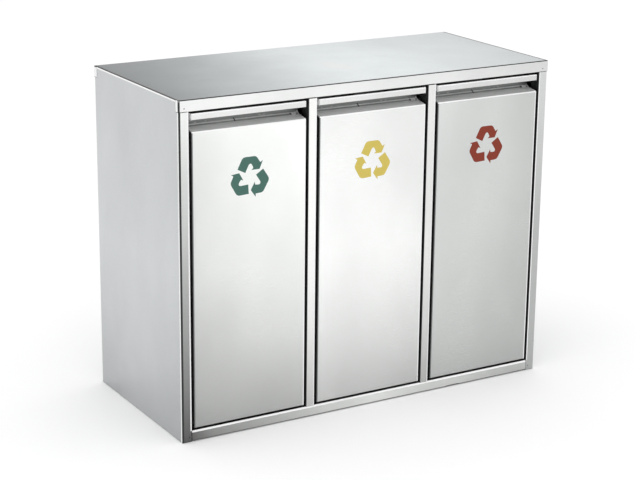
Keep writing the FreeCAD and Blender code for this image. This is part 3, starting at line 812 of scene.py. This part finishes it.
def make_pivots(steel):
    """Pivot pins, a shank and a low head each, at both sides of every front."""
    lo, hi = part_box("pivot_pins")
    shank_r, head_r = 0.0030, 0.0060
    pin = bmesh.new()
    turned(pin, [(0.0022, 0.1390), (shank_r, 0.1398), (shank_r, 0.1515), (head_r, 0.1515),
                 (head_r, 0.1524), (0.0052, 0.1531), (0.0036, 0.1535)], 28, ALONG_X)
    spots = [((middle_of_front(i), (lo.y + hi.y) / 2, (lo.z + hi.z) / 2), (0, 0, turn))
             for i in FRONTS for turn in (0, math.pi)]
    stand_for(copied("pivot_pins_turned", pin, spots, steel), "pivot_pins")


def make_buffers(rubber):
    """Buffers that the shut fronts rest on."""
    lo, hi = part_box("rest_buffers")
    foot_r, top = 0.0100, hi.z - lo.z
    buffer = bmesh.new()
    turned(buffer, [(foot_r, 0.0), (foot_r, 0.0012), (0.0094, 0.0020), (0.0092, top - 0.0018),
                    (0.0084, top - 0.0004), (0.0070, top), (0.0040, top), (0.0030, top - 0.0012)])
    spots = [((middle_of_front(i) + aside, (lo.y + hi.y) / 2, lo.z), UNTURNED)
             for i in FRONTS for aside in (-0.1, 0.1)]
    stand_for(copied("rest_buffers_moulded", buffer, spots, rubber), "rest_buffers")


def heads(name, spots, radius, height, finish):
    """Domed heads on their spots."""
    return grown(name, spots, TREES["heads"], {"Radius": radius, "Height": height, "Finish": finish})


def weld_spots(rail, laps, steps):
    """Spots at shares of a grip rail's length: on its lap, and in (share, count) rows up the step."""
    lo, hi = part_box(rail)
    lap_y, lap_z = lo.y + 0.0400, lo.z + 0.0004
    step_y, step_z, inward, rise = lo.y + 0.0325, 0.7336, 0.0024, 0.0016
    spots = [((lo.x + (hi.x - lo.x) * share, lap_y, lap_z), TO_FRONT) for share in laps]
    for share, count in steps:
        spots += [((lo.x + (hi.x - lo.x) * share, step_y + inward * k, step_z + rise * k), UP_SLOPE)
                  for k in range(count)]
    return spots


def set_heads(steel, dark, glint):
    """Rear rivets, the frame's small studs and the spot welds along each channel's lap, whose bright ones
    are painted glints in the painted highlight finish.
    """
    lo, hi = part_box("back_rivets")
    rivet_r, rows = 0.0032, 6
    pitch = (hi.z - lo.z - 2 * rivet_r) / (rows - 1)
    spots = [((x, lo.y, lo.z + rivet_r + k * pitch), TO_BACK)
             for x in (lo.x + rivet_r, hi.x - rivet_r) for k in range(rows)]
    stand_for(heads("back_rivets_domed", spots, rivet_r, hi.y - lo.y, steel), "back_rivets")
    face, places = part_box("frame_studs")[1].y, ((0.4855, 0.781), (0.4810, 0.012))
    spots = [((way * x, face, z), TO_FRONT) for way in (-1, 1) for x, z in places]
    stand_for(heads("frame_studs_domed", spots, 0.0014, 0.00025, dark), "frame_studs")
    for i in FRONTS:
        rail = "grip_rail_%d" % i
        # the bright spots wear the painted highlight finish: painted glints
        for label, radius, finish, laps, steps in (
                ("bright", 0.0026, glint, (0.10, 0.19, 0.66, 0.70), ((0.945, 2), (0.965, 2))),
                ("dark", 0.0016, dark, (), ((0.43, 4), (0.925, 2)))):
            spots = weld_spots(rail, laps, steps)
            piece = heads("lap_welds_%s_%d" % (label, i), spots, radius, 0.0007, finish)
            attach(piece, nodes[rail]["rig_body"])


# ---- finishes and assembly ----------------------------------------------------------------------
def make_steels():
    """Stainless finishes of the sheets, of their bands and of the finger channels: lit and shaded copies
    of one stainless, whose colours and fades are painted reflection and shade.
    """
    for place, colour, roughness, *fades in (
            ("sides", (0.590, 0.605, 0.613), 0.28, up(0.78, 0.96, 0.96)),
            ("top", (0.775, 0.822, 0.830), 0.24, across(0.60, 1.24, 0.83)),
            ("left stile", (0.800, 0.815, 0.800), 0.30, up(0.17, 0.56, 1.14)),
            ("right stile", (0.760, 0.775, 0.765), 0.30, up(0.54, 0.64, 0.92)),
            ("mullions", (0.950, 0.955, 0.940), 0.30, up(0.60, 1.0, 1.0),
             across(1.0, 0.94, 0.80, span=(-0.2, 0.2))),
            ("fascia", (0.885, 0.895, 0.885), 0.30, across(1.0, 0.95, 0.82)),
            ("bottom rail", (0.850, 0.865, 0.845), 0.30, across(0.28, 0.95, 0.60),
             across(0.45, 0.75, 1.0, span=(-0.5, -0.42))),
            ("grip rails", (0.890, 0.895, 0.885), 0.26, across(0.92, 0.86, 0.76)),
            ("back", (0.600, 0.612, 0.622), 0.32, up(0.85, 1.0, 0.97)),
            ("inner faces", (0.620, 0.625, 0.620), 0.38)):
        STEELS[place] = satin_steel("Satin stainless, " + place, colour, roughness, *fades)
    # the three fronts are lit and shaded copies: their colours and fades are painted reflection, the
    # third front darkest
    for i, colour, height, width in ((1, (0.970, 0.985, 0.968), (0.44, 0.82, 1.03), (0.86, 1.0, 1.08)),
                                     (2, (0.960, 0.970, 0.958), (0.57, 0.96, 0.86), (1.03, 1.0, 0.92)),
                                     (3, (0.838, 0.855, 0.840), (0.55, 0.72, 0.78), (1.07, 1.0, 0.91))):
        lo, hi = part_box("door_%d" % i)
        STEELS["front %d" % i] = satin_steel("Satin stainless, front %d" % i, colour, 0.26, up(*height),
                                             across(*width, span=(lo.x, hi.x)))
    # band finishes: a painted highlight, painted shade and painted half shade, put on bends, edges and
    # gap faces for what they reflect or the shade they hold
    STEELS["light"] = satin_steel("Bend, painted highlight", (0.97, 0.97, 0.97), 0.35, metallic=0.1)
    STEELS["shade"] = satin_steel("Painted shade, on bends and in gaps", (0.035, 0.037, 0.038), 0.45, metallic=0.6)
    STEELS["soft"] = satin_steel("Sheet edge, painted half shade", (0.22, 0.23, 0.225), 0.40, metallic=0.9)
    # the channel's floor is a white, unmetallic painted reflection, fading inwards as painted shade; its
    # wall is darkened as painted shade, with streak marks
    STEELS["channel"] = satin_steel("Finger channel floor, painted reflection and shade", (0.97, 0.985, 0.97), 0.32,
                                    inwards(0.47, 0.78, 0.94), grain=1.4, marks=0.2, metallic=0.0)
    STEELS["wall"] = satin_steel("Finger channel wall, painted shade", (0.42, 0.43, 0.42), 0.36, grain=1.6, marks=1.2,
                                 metallic=0.4)


def slot_finishes():
    """Finish for each slot in the record."""
    green, yellow, red = (speckled("Sign film %d" % i, SIGN_COLOURS[i], 0.50, 500, 0.08, specular=0.15)
                          for i in FRONTS)
    return {"stainless_cabinet": STEELS["sides"], "stainless_front": STEELS["inner faces"],
            "galvanised": galvanised_sheet("Galvanised sheet", (0.56, 0.58, 0.60), 0.42, 90, 0.20),
            "zinc_plated": speckled("Zinc plate", (0.62, 0.63, 0.65), 0.34, 300, 0.08, 1.0),
            "rubber_black": speckled("Black rubber", (0.030, 0.030, 0.031), 0.75, 700, 0.3, 0, 0.0004),
            "nylon_black": speckled("Black nylon", (0.040, 0.040, 0.042), 0.45, 400, 0.2, 0, 0.0002),
            "magnet_dark": speckled("Magnet housing", (0.065, 0.065, 0.07), 0.5, 500, 0.2),
            "vinyl_green": green, "vinyl_yellow": yellow, "vinyl_red": red}


def main():
    """Room, finishes, then every piece."""
    place_camera()
    lay_floor()
    light_room()
    GROUPS.update(satin=satin_group(), dulling=dulling_group(), spangle=spangle_group())
    TREES.update(heads=heads_tree(), copies=copies_tree(), sleeve=sleeve_tree())
    make_steels()
    finish = slot_finishes()
    # dark steel for studs and dark weld marks, also put on pins and stops as painted shade in the gaps
    dark_steel_and_gap_shade = speckled("Blackened steel, and painted shade in gaps", (0.035, 0.035, 0.037), 0.42, 300, 0.2, 0.8)
    for name, obj in nodes.items():
        obj.data.materials.clear()
        obj.data.materials.append(finish[SLOTS[name]])
    dress_cap()
    dress_side("side_left", 1, "left stile")
    dress_side("side_right", -1, "right stile")
    dress_mullion("mullion_left")
    dress_mullion("mullion_right")
    dress_pan()
    for i in FRONTS:
        dress_door(i)
        dress_bar(i)
        make_liner(i, finish["galvanised"])
        make_grip(i, finish["nylon_black"])
    make_feet(finish["rubber_black"], finish["zinc_plated"])
    # the pivot pins wear the blackened finish as painted shade where they show in the gaps
    make_pivots(dark_steel_and_gap_shade)
    make_buffers(finish["rubber_black"])
    set_heads(finish["zinc_plated"], dark_steel_and_gap_shade, STEELS["light"])
    # the open stops wear the blackened finish as painted shade in the gaps
    special = {"back_panel": STEELS["back"], "open_stops": dark_steel_and_gap_shade}
    for name in nodes:
        if name.startswith(PLAINLY_DRESSED) and not name.startswith("bail_grip"):
            dressed(name, [special.get(name, finish[SLOTS[name]])])


main()
